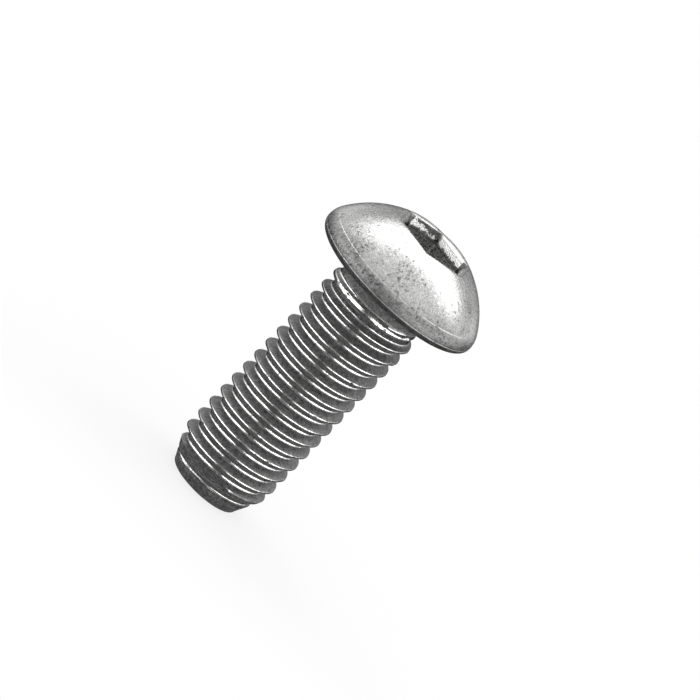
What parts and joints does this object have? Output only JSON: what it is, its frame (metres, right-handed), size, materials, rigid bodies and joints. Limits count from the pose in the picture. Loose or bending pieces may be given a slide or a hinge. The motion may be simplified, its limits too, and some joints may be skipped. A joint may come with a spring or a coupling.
{
  "type": "hexagon socket button head screw",
  "caption": "Domed button head screw in plain stainless steel, with a hexagon socket, a fully threaded metric shank and a flat end.",
  "frame": {"origin": "on the axis, in the plane of the bearing face under the head", "axes": "+Z out of the head along the axis, and two corners of the socket's hexagon lie over the Y axis"},
  "size_m": [0.0173, 0.0172, 0.0312],
  "materials": {
    "steel": "satin cold-headed stainless steel with small pits and scuffs, thread rolled bright"
  },
  "bodies": {
    "root": {"screw": "steel"}
  },
  "joints": []
}
